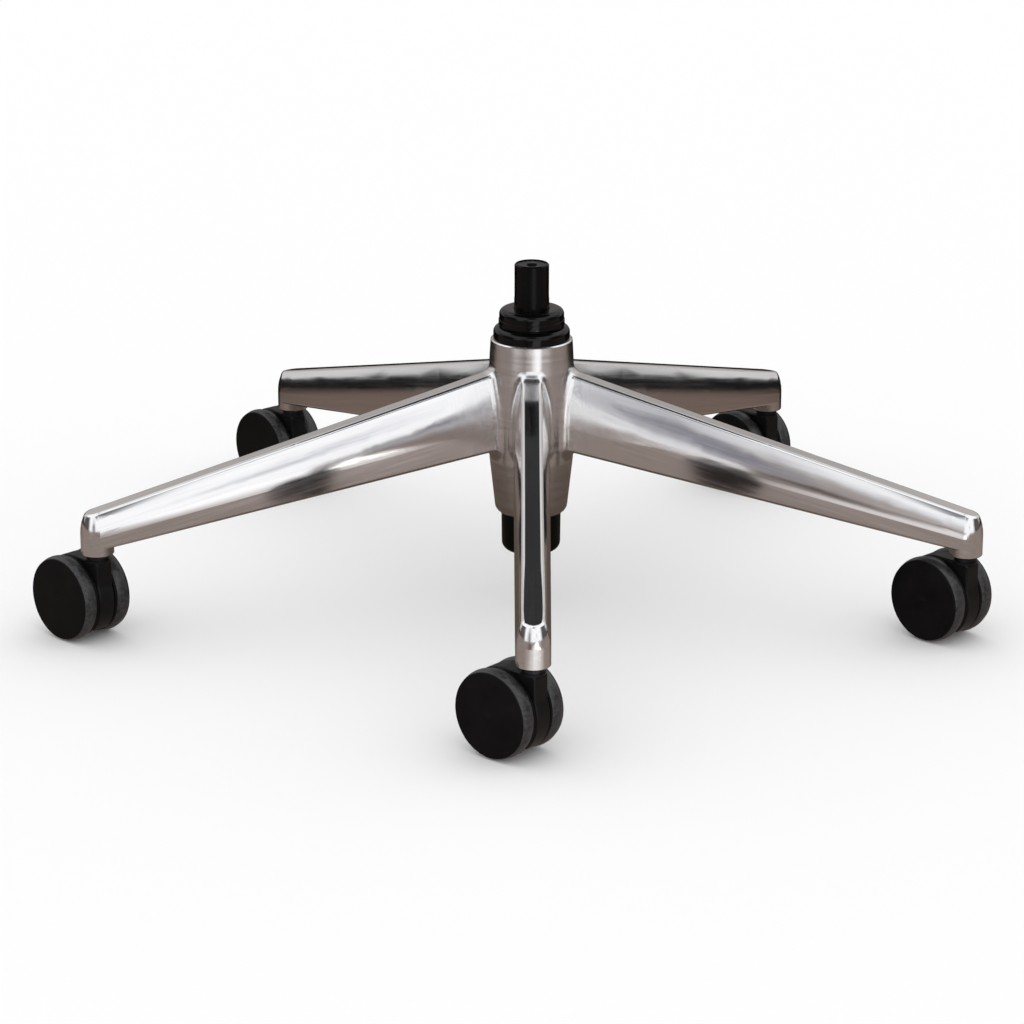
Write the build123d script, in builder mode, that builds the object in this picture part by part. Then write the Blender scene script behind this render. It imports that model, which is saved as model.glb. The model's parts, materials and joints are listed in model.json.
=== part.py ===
from build123d import *
from math import atan, cos, hypot, radians, sin, sqrt, tan
import os

# Five-star office chair base: die-cast arms, a gas lift column and five twin-wheel casters.
# Millimetres, Z up, the origin on the floor under the column's axis, the front arm along -Y.

# General fits, as radial or end clearances
running_fit = 0.05
seat_fit = 0.03
spin_gap = 0.1

# Casters
wheel_r = 34.0
wheel_w = 15.5
wheel_pitch_gap = 16.3
body_w = 14.8
body_inset = 0.8
body_foot_gap = 9.0
body_edge_r = 1.5
column_half_w = 8.0
trail_inset = 11.4
swivel_cap_r = 9.5
swivel_cap_t = 2.0
swivel_cap_rise = 0.1
column_edge_r = 3.0
column_blend_r = 12.0
caster_headings = {"front": 229.0, "right": 224.0, "back_right": 224.0, "back_left": 221.0, "left": 225.3}

# Wheels: a moulded core with a face disc, ribs and a soft tread band
face_lip_w = 1.8
face_dome = 0.7
face_edge_r = 0.9
tread_w = 11.5
tread_t = 3.4
tread_crown = 1.5
rim_t = 2.4
face_t = 2.4
wheel_hub_r = 7.5
wheel_rib_t = 1.6
wheel_rib_count = 5
wheel_rib_recess = 2.0

# Axles and stems
axle_r = 3.0
axle_reach = 8.5
axle_chamfer = 0.5
stem_r = 5.45
stem_len = 22.0
stem_chamfer = 0.8
stem_collar_r = 8.75
stem_collar_t = 4.1
pin_r = 4.0
pin_len = 24.0
pin_spare = 1.0
grip_groove_w = 2.4
grip_groove_depth = 0.9
grip_groove_up = 15.0
grip_ring_slit = 2.0

# Star base: arms
arm_count = 5
first_arm_angle = -90.0
stem_circle_r = 356.5
boss_r = 13.0
boss_drop = 5.6
boss_edge = 0.8
bore_spare = 2.0
arm_tip_depth = 29.7
arm_root_depth = 62.6
arm_rise = 83.9
arm_flat_half_w = 7.8
arm_root_half_w = 14.5
tip_shoulder_drop = 19.0
root_shoulder_drop = 42.0
arm_top_edge_r = 3.0
arm_low_edge_r = 2.5
arm_wall = 3.4
arm_crown = 4.2
arm_web_t = 2.6
arm_web_count = 4
arm_web_setback = 9.0

# Star base: hub
hub_rim_r = 32.7
hub_belly_r = 34.2
hub_waist_r = 33.6
hub_foot_r = 28.6
hub_height = 145.0
hub_above_arms = 25.6
hub_belly_drop = 30.0
waist_below_arms = 11.8
hub_foot_edge_r = 7.0
hub_rim_edge = 0.9
junction_r = 9.0

# Gas lift: standing tube, guide bush and trims
tube_r = 25.0
tube_wall = 2.0
tube_above_hub = 11.9
tube_below_hub = 32.4
taper_above_foot = 78.0
taper_half_angle = 0.7188
tube_foot_edge_r = 7.0
tube_floor_t = 3.0
tube_recess_r = 13.0
tube_recess_depth = 5.0
bush_len = 76.0
hub_ring_r = 30.6
hub_ring_seat = 4.0
hub_ring_rise = 9.9
hub_ring_edge_r = 3.6
collar_band_r = 26.4
collar_r = 25.9
collar_skirt = 1.0
collar_band_h = 5.0
collar_height = 12.5
collar_edge_r = 4.0
collar_mouth = 0.3

# Gas lift: pressure tube, rod, piston and thrust bearing
spring_r = 14.0
spring_wall = 1.8
spring_tip_r = 13.75
spring_tip_len = 28.0
column_above_hub = 60.9
column_chamfer = 1.0
rod_r = 5.0
rod_tail_r = 4.0
rod_head_r = 5.5
rod_head_t = 3.0
piston_t = 10.0
piston_below_top = 46.0
seal_w = 3.0
seal_t = 2.0
rod_guide_t = 15.0
valve_len = 22.0
valve_recess = 0.8
button_r = 4.0
button_len = 8.5
button_proud = 0.8
button_travel = 2.5
button_spare = 0.5
button_chamfer = 0.6
washer_r = 13.0
washer_t = 1.5
washer_play = 0.6
ball_r = 1.6
ball_count = 8
ball_circle_r = 8.6
cage_t = 1.6
cage_gap = 0.1
cage_half_w = 3.0
bumper_r = 11.0
bumper_waist = 2.0
bumper_h = 21.0
clip_r = 7.0
clip_t = 1.2
clip_groove_depth = 0.8
clip_slit = 5.0
tail_below_clip = 2.0

# Heights, from the floor up
cap_top_z = 2 * wheel_r + swivel_cap_rise
collar_low_z = cap_top_z + spin_gap
boss_low_z = collar_low_z + stem_collar_t
tip_top_z = boss_low_z + boss_drop + arm_tip_depth
root_top_z = tip_top_z + arm_rise
hub_top_z = root_top_z + hub_above_arms
hub_low_z = hub_top_z - hub_height
hub_waist_z = root_top_z - arm_root_depth - waist_below_arms
tube_top_z = hub_top_z + tube_above_hub
tube_low_z = hub_low_z - tube_below_hub
taper_top_z = hub_low_z + taper_above_foot
floor_low_z = tube_low_z + tube_recess_depth
floor_top_z = floor_low_z + tube_floor_t
lower_washer_top_z = floor_top_z + washer_t
ball_z = lower_washer_top_z + ball_r
upper_washer_low_z = ball_z + ball_r
upper_washer_top_z = upper_washer_low_z + washer_t
bumper_top_z = upper_washer_top_z + bumper_h
column_low_z = bumper_top_z
column_top_z = hub_top_z + column_above_hub
valve_top_z = column_top_z - valve_recess
button_low_z = column_top_z + button_proud - button_len
piston_top_z = column_top_z - piston_below_top
piston_low_z = piston_top_z - piston_t
clip_top_z = floor_low_z - spin_gap
clip_low_z = clip_top_z - clip_t

# Lengths along an arm
root_x = hub_belly_r
arm_run = stem_circle_r - root_x
bore_depth = stem_len + bore_spare
taper_slope = tan(radians(taper_half_angle))
spring_bore_r = spring_r - spring_wall
caster_trail = wheel_r - trail_inset
inner_w = wheel_pitch_gap / 2
outer_w = inner_w + wheel_w
tread_in_w = outer_w - face_lip_w - tread_w
tread_out = tread_in_w + tread_w
tread_seat_r = wheel_r - tread_t
core_r = wheel_r - tread_crown


def taper_r(straight_r, z):
    """Radius of a wall that follows the standing tube's taper, at height z."""
    return straight_r - max(0.0, taper_top_z - z) * taper_slope


def along_arm(root_value, tip_value, x):
    """A size that changes evenly from the hub wall to the stem's axis, at x."""
    return root_value + (tip_value - root_value) * (x - root_x) / arm_run


def flank_radius(drop, inward):
    """Radius of the arc that starts upright and leans in by inward over a height of drop."""
    return (drop**2 + inward**2) / (2 * inward)


def lean_in(radius, height):
    """How far an arc of this radius that starts upright has leaned in at height."""
    return radius - sqrt(radius**2 - height**2)


def ring_solid(inner, outer, low_z, high_z):
    """A flat ring about the upright axis."""
    with BuildPart() as ring:
        with BuildSketch(Plane.XY.offset(low_z)):
            Circle(outer)
            Circle(inner, mode=Mode.SUBTRACT)
        extrude(amount=high_z - low_z)
    return ring.part


def turned_solid(points):
    """A closed outline of (radius, height) points, turned about the upright axis."""
    with BuildPart() as turned:
        with BuildSketch(Plane.XZ):
            with BuildLine():
                Polyline(*points, close=True)
            make_face()
        revolve(axis=Axis.Z)
    return turned.part


# Star base: one arm, along +X


def arm_section(x, wall=0.0):
    """The arm's section at x: upright flanks that lean in to a narrow top.

    It is drawn past the arm's flat top and its lower rims, which are cut afterwards. A wall
    above zero gives the section of the hollow instead, that much inside the outer one.
    """
    top = along_arm(root_top_z, tip_top_z, x)
    low = top - along_arm(arm_root_depth, arm_tip_depth, x) - arm_crown
    shoulder_drop = along_arm(root_shoulder_drop, tip_shoulder_drop, x)
    half_w = along_arm(arm_root_half_w, boss_r, x)
    radius = flank_radius(shoulder_drop, half_w - arm_flat_half_w) - wall
    rise = shoulder_drop - wall if wall else shoulder_drop + arm_crown
    side = half_w - wall
    shoulder = (side, top - shoulder_drop)
    crown = (side - lean_in(radius, rise), top - shoulder_drop + rise)
    with BuildSketch(Plane.YZ.offset(x)) as section:
        with BuildLine():
            flank = TangentArc(shoulder, crown, tangent=(0, 1))
            foot = Line((side, low), shoulder)
            mirror(flank, about=Plane.YZ)
            mirror(foot, about=Plane.YZ)
            Line(crown, (-crown[0], crown[1]))
            Line((side, low), (-side, low))
        make_face()
    return section.sketch


def arm_plane(tip_z, root_z):
    """The sloping plane through two heights: at the stem's axis and at the hub wall."""
    lean = atan((root_z - tip_z) / arm_run)
    return Plane(origin=(stem_circle_r, 0, tip_z), x_dir=(0, 1, 0), z_dir=(sin(lean), 0, cos(lean)))


arm_top_plane = arm_plane(tip_top_z, root_top_z)
arm_low_plane = arm_plane(tip_top_z - arm_tip_depth, root_top_z - arm_root_depth)


def arm_beam():
    """The tapering beam of the arm, from inside the hub to the stem's axis."""
    with BuildPart() as beam:
        add(arm_section(tube_r + arm_wall))
        add(arm_section(stem_circle_r))
        loft(ruled=True)
        split(bisect_by=arm_top_plane, keep=Keep.BOTTOM)
        split(bisect_by=arm_low_plane, keep=Keep.TOP)
        long_edges = beam.edges().filter_by(lambda edge: edge.length > arm_run / 2)
        fillet(long_edges.sort_by(Axis.Z)[-2:], arm_top_edge_r)
        long_edges = beam.edges().filter_by(lambda edge: edge.length > arm_run / 2)
        fillet(long_edges.sort_by(Axis.Z)[:2], arm_low_edge_r)
    return beam.part


def arm_nose():
    """The upright boss at the arm's end, crowned like the beam and cut by the arm's top."""
    radius = flank_radius(tip_shoulder_drop, boss_r - arm_flat_half_w)
    rise = tip_shoulder_drop + arm_crown
    side_x = stem_circle_r + boss_r
    shoulder = (side_x, tip_top_z - tip_shoulder_drop)
    crown = (side_x - lean_in(radius, rise), tip_top_z + arm_crown)
    with BuildPart() as nose:
        with BuildSketch(Plane.XZ):
            with BuildLine():
                TangentArc(shoulder, crown, tangent=(0, 1))
                Polyline(
                    crown,
                    (stem_circle_r, crown[1]),
                    (stem_circle_r, boss_low_z),
                    (side_x, boss_low_z),
                    shoulder,
                )
            make_face()
        revolve(axis=Axis((stem_circle_r, 0, 0), (0, 0, 1)))
        split(bisect_by=arm_top_plane, keep=Keep.BOTTOM)
        fillet(nose.faces().sort_by(Axis.Z)[-1].edges(), arm_top_edge_r)
        chamfer(nose.faces().sort_by(Axis.Z)[0].edges(), boss_edge)
    return nose.part


def arm_hollow():
    """The hollow under the arm, open below, less the webs that cross it."""
    start_x = root_x + arm_wall
    end_x = stem_circle_r - boss_r
    web_pitch = (end_x - start_x) / (arm_web_count + 1)
    with BuildPart() as hollow:
        add(arm_section(start_x, arm_wall))
        add(arm_section(end_x, arm_wall))
        loft(ruled=True)
        for index in range(arm_web_count):
            web_x = start_x + (index + 1) * web_pitch
            top = along_arm(root_top_z, tip_top_z, web_x)
            low = top - along_arm(arm_root_depth, arm_tip_depth, web_x) + arm_web_setback
            with BuildSketch(Plane.YZ.offset(web_x - arm_web_t / 2)):
                with Locations((0, (low + top) / 2)):
                    Rectangle(2 * arm_root_half_w, top - low)
            extrude(amount=arm_web_t, mode=Mode.SUBTRACT)
    return hollow.part


# Star base: the hub with its arms


def star_base():
    """The one-piece casting: barrel hub, five crowned arms with blended roots, and bores."""
    beam = arm_beam()
    nose = arm_nose()
    hollow = arm_hollow()
    seat_z = hub_top_z - hub_ring_seat
    bore_r = tube_r + seat_fit
    seat_r = hub_ring_r + seat_fit
    with BuildPart() as star:
        with BuildSketch(Plane.XZ):
            with BuildLine():
                ThreePointArc(
                    (hub_waist_r, hub_waist_z),
                    (hub_belly_r, hub_top_z - hub_belly_drop),
                    (hub_rim_r, hub_top_z),
                )
                Polyline(
                    (hub_rim_r, hub_top_z),
                    (0, hub_top_z),
                    (0, hub_low_z),
                    (hub_foot_r, hub_low_z),
                    (hub_waist_r, hub_waist_z),
                )
            make_face()
        revolve(axis=Axis.Z)
        fillet(star.edges().group_by(Axis.Z)[0], hub_foot_edge_r)
        chamfer(star.edges().group_by(Axis.Z)[-1], hub_rim_edge)
        with PolarLocations(0, arm_count, first_arm_angle):
            add(beam)
        roots = star.edges().filter_by(is_arm_root)
        fillet(roots, junction_r)
        with PolarLocations(0, arm_count, first_arm_angle):
            add(nose)
            add(hollow, mode=Mode.SUBTRACT)
        with BuildSketch(Plane.XZ):
            with BuildLine():
                Polyline(
                    (0, hub_low_z),
                    (taper_r(bore_r, hub_low_z), hub_low_z),
                    (bore_r, taper_top_z),
                    (bore_r, seat_z),
                    (seat_r, seat_z),
                    (seat_r, hub_top_z),
                    (0, hub_top_z),
                    close=True,
                )
            make_face()
        revolve(axis=Axis.Z, mode=Mode.SUBTRACT)
        with BuildSketch(Plane.XY.offset(boss_low_z)):
            with PolarLocations(stem_circle_r, arm_count, first_arm_angle):
                Circle(stem_r + running_fit)
        extrude(amount=bore_depth, mode=Mode.SUBTRACT)
    return star.part


def is_arm_root(edge):
    """Whether the edge is where an arm meets the hub: on the hub's wall, beside the arm's section."""
    middle = edge.center()
    out = hypot(middle.X, middle.Y)
    low = root_top_z - arm_root_depth
    beside = low - arm_wall < middle.Z < root_top_z + arm_wall
    near_wall = hub_waist_r - junction_r < out < hub_belly_r + junction_r
    return beside and near_wall and edge.geom_type == GeomType.BSPLINE and edge.length < arm_root_depth


# Gas lift: what stays with the star base


def standing_tube():
    """The outer tube, tapered where the hub grips it, with a thick foot and a clip recess."""
    inner_r = tube_r - tube_wall
    hole_r = rod_tail_r + spin_gap
    with BuildPart() as tube:
        with BuildSketch(Plane.XZ):
            with BuildLine():
                Polyline(
                    (hole_r, floor_low_z),
                    (tube_recess_r, floor_low_z),
                    (tube_recess_r, tube_low_z),
                    (taper_r(tube_r, tube_low_z), tube_low_z),
                    (tube_r, taper_top_z),
                    (tube_r, tube_top_z),
                    (inner_r, tube_top_z),
                    (inner_r, taper_top_z),
                    (taper_r(inner_r, floor_top_z), floor_top_z),
                    (hole_r, floor_top_z),
                    close=True,
                )
            make_face()
        revolve(axis=Axis.Z)
        fillet(tube.edges().group_by(Axis.Z)[0].sort_by(SortBy.RADIUS)[-1], tube_foot_edge_r)
    return tube.part


def guide_bush():
    """The long plastic bush that guides the pressure tube inside the standing tube."""
    outer = tube_r - tube_wall - seat_fit
    return ring_solid(spring_r + running_fit, outer, tube_top_z - bush_len, tube_top_z)


def hub_ring():
    """The round-shouldered trim ring seated in the hub's rim."""
    low_z = hub_top_z - hub_ring_seat
    with BuildPart() as ring:
        add(ring_solid(tube_r + running_fit, hub_ring_r, low_z, hub_top_z + hub_ring_rise))
        fillet(ring.edges().group_by(Axis.Z)[-1].sort_by(SortBy.RADIUS)[-1], hub_ring_edge_r)
    return ring.part


def collar():
    """The domed cap over the standing tube's rim, with a wider band round its skirt."""
    mouth_r = spring_r + collar_mouth
    skirt_r = tube_r + running_fit
    low_z = tube_top_z - collar_skirt
    top_z = tube_top_z + collar_height
    with BuildPart() as cap:
        add(
            turned_solid(
                [
                    (mouth_r, tube_top_z),
                    (skirt_r, tube_top_z),
                    (skirt_r, low_z),
                    (collar_band_r, low_z),
                    (collar_band_r, low_z + collar_band_h),
                    (collar_r, low_z + collar_band_h),
                    (collar_r, top_z),
                    (mouth_r, top_z),
                ]
            )
        )
        fillet(cap.edges().group_by(Axis.Z)[-1].sort_by(SortBy.RADIUS)[-1], collar_edge_r)
    return cap.part


def lower_washer():
    """The hardened washer that lies on the standing tube's floor."""
    return ring_solid(rod_tail_r + washer_play, washer_r, floor_top_z, lower_washer_top_z)


def ball_cage():
    """The thin ring that spaces the thrust bearing's balls."""
    inner = ball_circle_r - cage_half_w
    outer = ball_circle_r + cage_half_w
    with BuildPart() as cage:
        add(ring_solid(inner, outer, ball_z - cage_t / 2, ball_z + cage_t / 2))
        with BuildSketch(Plane.XY.offset(ball_z - cage_t / 2)):
            with PolarLocations(ball_circle_r, ball_count):
                Circle(ball_r + cage_gap)
        extrude(amount=cage_t, mode=Mode.SUBTRACT)
    return cage.part


def bearing_balls():
    """The thrust bearing's balls, as separate solids."""
    with BuildPart(Plane.XY.offset(ball_z)) as balls:
        with PolarLocations(ball_circle_r, ball_count):
            Sphere(ball_r)
    return balls.part


# Gas lift: the spindle, which turns on the bearing


def upper_washer():
    """The hardened washer under the rod's shoulder."""
    return ring_solid(rod_tail_r + running_fit, washer_r, upper_washer_low_z, upper_washer_top_z)


def bumper():
    """The waisted rubber stop that the pressure tube comes down on."""
    bore_r = rod_r + spin_gap
    middle_z = (upper_washer_top_z + bumper_top_z) / 2
    with BuildPart() as stop:
        with BuildSketch(Plane.XZ):
            with BuildLine():
                ThreePointArc(
                    (bumper_r, upper_washer_top_z),
                    (bumper_r - bumper_waist, middle_z),
                    (bumper_r, bumper_top_z),
                )
                Polyline(
                    (bumper_r, bumper_top_z),
                    (bore_r, bumper_top_z),
                    (bore_r, upper_washer_top_z),
                    (bumper_r, upper_washer_top_z),
                )
            make_face()
        revolve(axis=Axis.Z)
    return stop.part


def piston_rod():
    """The rod: a grooved tail through the tube's floor, a shoulder, and a headed top."""
    groove_r = rod_tail_r - clip_groove_depth
    return turned_solid(
        [
            (0, clip_low_z - tail_below_clip),
            (rod_tail_r, clip_low_z - tail_below_clip),
            (rod_tail_r, clip_low_z - seat_fit),
            (groove_r, clip_low_z - seat_fit),
            (groove_r, clip_top_z + seat_fit),
            (rod_tail_r, clip_top_z + seat_fit),
            (rod_tail_r, upper_washer_top_z),
            (rod_r, upper_washer_top_z),
            (rod_r, piston_low_z),
            (rod_tail_r, piston_low_z),
            (rod_tail_r, piston_top_z),
            (rod_head_r, piston_top_z),
            (rod_head_r, piston_top_z + rod_head_t),
            (0, piston_top_z + rod_head_t),
        ]
    )


def retaining_clip():
    """The open clip in the tail's groove that holds the rod to the tube's floor."""
    inner = rod_tail_r - clip_groove_depth + seat_fit
    with BuildPart() as clip:
        with BuildSketch(Plane.XY.offset(clip_low_z)):
            Circle(clip_r)
            Circle(inner, mode=Mode.SUBTRACT)
            with Locations((clip_r, 0)):
                Rectangle(2 * clip_r, clip_slit, mode=Mode.SUBTRACT)
        extrude(amount=clip_t)
    return clip.part


def piston():
    """The piston on the rod's top, grooved for its seal."""
    outer = spring_bore_r - running_fit
    inner = rod_tail_r + seat_fit
    seal_low_z = (piston_low_z + piston_top_z - seal_w) / 2
    return turned_solid(
        [
            (inner, piston_low_z),
            (outer, piston_low_z),
            (outer, seal_low_z),
            (outer - seal_t, seal_low_z),
            (outer - seal_t, seal_low_z + seal_w),
            (outer, seal_low_z + seal_w),
            (outer, piston_top_z),
            (inner, piston_top_z),
        ]
    )


def piston_seal():
    """The seal in the piston's groove."""
    inner = spring_bore_r - running_fit - seal_t + seat_fit
    low_z = (piston_low_z + piston_top_z - seal_w) / 2 + seat_fit
    return ring_solid(inner, spring_bore_r - seat_fit, low_z, low_z + seal_w - 2 * seat_fit)


# Gas lift: the column that slides, and its release button


def pressure_tube():
    """The black tube that slides through the bush, with a slimmer tip for the seat's socket."""
    with BuildPart() as tube:
        add(
            turned_solid(
                [
                    (spring_bore_r, column_low_z),
                    (spring_r, column_low_z),
                    (spring_r, column_top_z - spring_tip_len),
                    (spring_tip_r, column_top_z - spring_tip_len),
                    (spring_tip_r, column_top_z),
                    (spring_bore_r, column_top_z),
                ]
            )
        )
        chamfer(tube.edges().group_by(Axis.Z)[-1].sort_by(SortBy.RADIUS)[-1], column_chamfer)
    return tube.part


def rod_guide():
    """The plug in the tube's lower end that the rod runs through."""
    outer = spring_bore_r - seat_fit
    return ring_solid(rod_r + running_fit, outer, column_low_z, column_low_z + rod_guide_t)


def valve_block():
    """The plug in the tube's upper end, bored for the release button."""
    outer = spring_bore_r - seat_fit
    bore_r = button_r + running_fit
    low_z = valve_top_z - valve_len
    bore_low_z = button_low_z - button_travel - button_spare
    return turned_solid(
        [
            (0, low_z),
            (outer, low_z),
            (outer, valve_top_z),
            (bore_r, valve_top_z),
            (bore_r, bore_low_z),
            (0, bore_low_z),
        ]
    )


def release_button():
    """The pin in the column's top that opens the valve when it is pressed."""
    with BuildPart() as button:
        with BuildSketch(Plane.XY.offset(button_low_z)):
            Circle(button_r)
        extrude(amount=button_len)
        chamfer(button.edges().group_by(Axis.Z)[-1], button_chamfer)
    return button.part


# One caster, with its stem on the upright axis and its wheels trailing along +X


def stem():
    """The steel stem: swivel pin, collar under the boss, and a grooved shank in the bore."""
    top_z = boss_low_z + stem_len
    groove_low_z = boss_low_z + grip_groove_up
    groove_r = stem_r - grip_groove_depth
    return turned_solid(
        [
            (0, collar_low_z - pin_len),
            (pin_r, collar_low_z - pin_len),
            (pin_r, collar_low_z),
            (stem_collar_r, collar_low_z),
            (stem_collar_r, boss_low_z),
            (stem_r, boss_low_z),
            (stem_r, groove_low_z),
            (groove_r, groove_low_z),
            (groove_r, groove_low_z + grip_groove_w),
            (stem_r, groove_low_z + grip_groove_w),
            (stem_r, top_z - stem_chamfer),
            (stem_r - stem_chamfer, top_z),
            (0, top_z),
        ]
    )


def grip_ring():
    """The slit ring that grips the base's bore from the stem's groove."""
    low_z = boss_low_z + grip_groove_up + seat_fit
    with BuildPart() as ring:
        with BuildSketch(Plane.XY.offset(low_z)):
            Circle(stem_r + running_fit - seat_fit)
            Circle(stem_r - grip_groove_depth + seat_fit, mode=Mode.SUBTRACT)
            with Locations((stem_r, 0)):
                Rectangle(2 * stem_r, grip_ring_slit, mode=Mode.SUBTRACT)
        extrude(amount=grip_groove_w - 2 * seat_fit)
    return ring.part


def caster_body():
    """The moulded web between the wheels, with a swivel column and a cap under the stem."""
    disc_r = wheel_r - body_inset
    column_top_z = wheel_r + disc_r
    column_mid = (caster_trail - column_half_w) / 2
    with BuildPart() as body:
        with BuildSketch(Plane.XZ.offset(-body_w / 2)) as outline:
            with Locations((caster_trail, wheel_r)):
                Circle(disc_r)
            with Locations((column_mid, wheel_r + disc_r / 2)):
                Rectangle(caster_trail + column_half_w, disc_r)
            with Locations((caster_trail, 0)):
                Rectangle(4 * wheel_r, 2 * body_foot_gap, mode=Mode.SUBTRACT)
            fillet(outline.vertices().group_by(Axis.X)[0].sort_by(Axis.Y)[0], column_blend_r)
            fillet(outline.vertices().group_by(Axis.Y)[-1].sort_by(Axis.X)[0], column_edge_r)
            fillet(outline.vertices().group_by(Axis.Y)[0], column_edge_r)
        extrude(amount=body_w)
        fillet(body.faces().filter_by(Axis.Y).edges(), body_edge_r)
        with BuildSketch(Plane.XY.offset(cap_top_z - swivel_cap_t)):
            Circle(swivel_cap_r)
        extrude(amount=swivel_cap_t)
        with BuildSketch(Plane.XY.offset(cap_top_z)):
            Circle(pin_r + running_fit)
        extrude(amount=-pin_len - pin_spare, mode=Mode.SUBTRACT)
        with BuildSketch(Plane.XZ.offset(-body_w / 2)):
            with Locations((caster_trail, wheel_r)):
                Circle(axle_r + seat_fit)
        extrude(amount=body_w, mode=Mode.SUBTRACT)
    return body.part


def axle():
    """The steel axle pin through the body, with an end in each wheel's hub."""
    half = inner_w + axle_reach
    with BuildPart() as pin:
        with BuildSketch(Plane.XZ.offset(-half)):
            with Locations((caster_trail, wheel_r)):
                Circle(axle_r)
        extrude(amount=2 * half)
        chamfer(pin.faces().filter_by(Axis.Y).edges(), axle_chamfer)
    return pin.part


wheel_plane = Plane(origin=(caster_trail, 0, wheel_r), x_dir=(1, 0, 0), z_dir=(0, 0, 1))
axle_axis = Axis((caster_trail, 0, wheel_r), (0, 1, 0))


def wheel_core():
    """The left wheel's moulded core: domed face, rim with a tread seat, hub and inner ribs."""
    bore_r = axle_r + running_fit
    bore_end = inner_w + axle_reach + spin_gap
    web_in = outer_w - face_dome - face_t
    rim_in_r = tread_seat_r - rim_t
    rib_low = inner_w + wheel_rib_recess
    dome_r = (core_r**2 + face_dome**2) / (2 * face_dome)
    with BuildPart() as core:
        with BuildSketch(wheel_plane) as outline:
            with BuildLine():
                Polyline(
                    (0, outer_w),
                    (0, bore_end),
                    (bore_r, bore_end),
                    (bore_r, inner_w),
                    (wheel_hub_r, inner_w),
                    (wheel_hub_r, web_in),
                    (rim_in_r, web_in),
                    (rim_in_r, inner_w),
                    (core_r, inner_w),
                    (core_r, tread_in_w),
                    (tread_seat_r, tread_in_w),
                    (tread_seat_r, tread_out),
                    (core_r, tread_out),
                    (core_r, outer_w - face_dome),
                )
                RadiusArc((core_r, outer_w - face_dome), (0, outer_w), -dome_r)
            make_face()
            fillet(outline.vertices().group_by(Axis.X)[-1].sort_by(Axis.Y)[-1], face_edge_r)
        revolve(axis=axle_axis)
        with BuildSketch(Plane(origin=(caster_trail, web_in, wheel_r), x_dir=(1, 0, 0), z_dir=(0, -1, 0))):
            with PolarLocations((wheel_hub_r + rim_in_r) / 2, wheel_rib_count):
                Rectangle(rim_in_r - wheel_hub_r + wheel_rib_t, wheel_rib_t)
        extrude(amount=web_in - rib_low)
    return core.part


def tread():
    """The left wheel's soft tread band, crowned across its width."""
    with BuildPart() as band:
        with BuildSketch(wheel_plane):
            with BuildLine():
                ThreePointArc(
                    (core_r, tread_in_w),
                    (wheel_r, tread_in_w + tread_w / 2),
                    (core_r, tread_out),
                )
                Polyline(
                    (core_r, tread_out),
                    (tread_seat_r, tread_out),
                    (tread_seat_r, tread_in_w),
                    (core_r, tread_in_w),
                )
            make_face()
        revolve(axis=axle_axis)
    return band.part


# Every piece by name, then one file each


def caster_pieces():
    """The pieces of all five casters, each at its own place and heading."""
    left_core = wheel_core()
    left_tread = tread()
    pieces = {
        "stem": stem(),
        "grip_ring": grip_ring(),
        "caster_body": caster_body(),
        "axle": axle(),
        "left_wheel": left_core,
        "left_tread": left_tread,
        "right_wheel": left_core.mirror(Plane.XZ),
        "right_tread": left_tread.mirror(Plane.XZ),
    }
    placed = {}
    for index, (place, heading) in enumerate(caster_headings.items()):
        angle = radians(first_arm_angle + index * 360 / arm_count)
        spot = (stem_circle_r * cos(angle), stem_circle_r * sin(angle), 0)
        turn = Location(spot, (0, 0, heading - 90))
        for name, piece in pieces.items():
            placed[f"{name}_{place}"] = piece.moved(turn)
    return placed


nodes = {
    "star_base": star_base(),
    "standing_tube": standing_tube(),
    "guide_bush": guide_bush(),
    "hub_ring": hub_ring(),
    "collar": collar(),
    "lower_washer": lower_washer(),
    "ball_cage": ball_cage(),
    "bearing_balls": bearing_balls(),
    "upper_washer": upper_washer(),
    "bumper": bumper(),
    "piston_rod": piston_rod(),
    "retaining_clip": retaining_clip(),
    "piston": piston(),
    "piston_seal": piston_seal(),
    "pressure_tube": pressure_tube(),
    "rod_guide": rod_guide(),
    "valve_block": valve_block(),
    "release_button": release_button(),
    **caster_pieces(),
}

os.makedirs("parts", exist_ok=True)
for name, solid in nodes.items():
    solid.label = name
    export_step(solid, f"parts/{name}.step")
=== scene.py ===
import json
import logging
import math
from dataclasses import dataclass, field
from enum import Enum, IntEnum

import bmesh
import bpy
from mathutils import Matrix, Vector


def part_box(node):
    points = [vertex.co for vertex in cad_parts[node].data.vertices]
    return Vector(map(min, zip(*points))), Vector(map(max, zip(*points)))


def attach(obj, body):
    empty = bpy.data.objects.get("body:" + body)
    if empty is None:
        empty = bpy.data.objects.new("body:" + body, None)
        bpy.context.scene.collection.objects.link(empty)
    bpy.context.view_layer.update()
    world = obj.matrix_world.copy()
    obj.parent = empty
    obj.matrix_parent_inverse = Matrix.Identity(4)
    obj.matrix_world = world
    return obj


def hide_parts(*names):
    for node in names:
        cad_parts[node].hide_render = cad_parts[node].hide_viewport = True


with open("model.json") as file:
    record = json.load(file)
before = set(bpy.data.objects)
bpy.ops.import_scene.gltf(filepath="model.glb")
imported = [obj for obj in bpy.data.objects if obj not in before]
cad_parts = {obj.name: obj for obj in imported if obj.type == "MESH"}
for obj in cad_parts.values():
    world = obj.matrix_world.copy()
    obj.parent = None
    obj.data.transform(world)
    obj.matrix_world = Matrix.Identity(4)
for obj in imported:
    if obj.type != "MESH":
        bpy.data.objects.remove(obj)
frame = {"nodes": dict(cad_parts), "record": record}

MM = 0.001
PLACES = ("front", "right", "back_right", "back_left", "left")

Colour = tuple[float, float, float]
Spot = tuple[float, float, float]

log = logging.getLogger("chair_base")


def grey(value: float) -> Colour:
    """A colour without a hue, from its linear value."""
    return (value, value, value)


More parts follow.
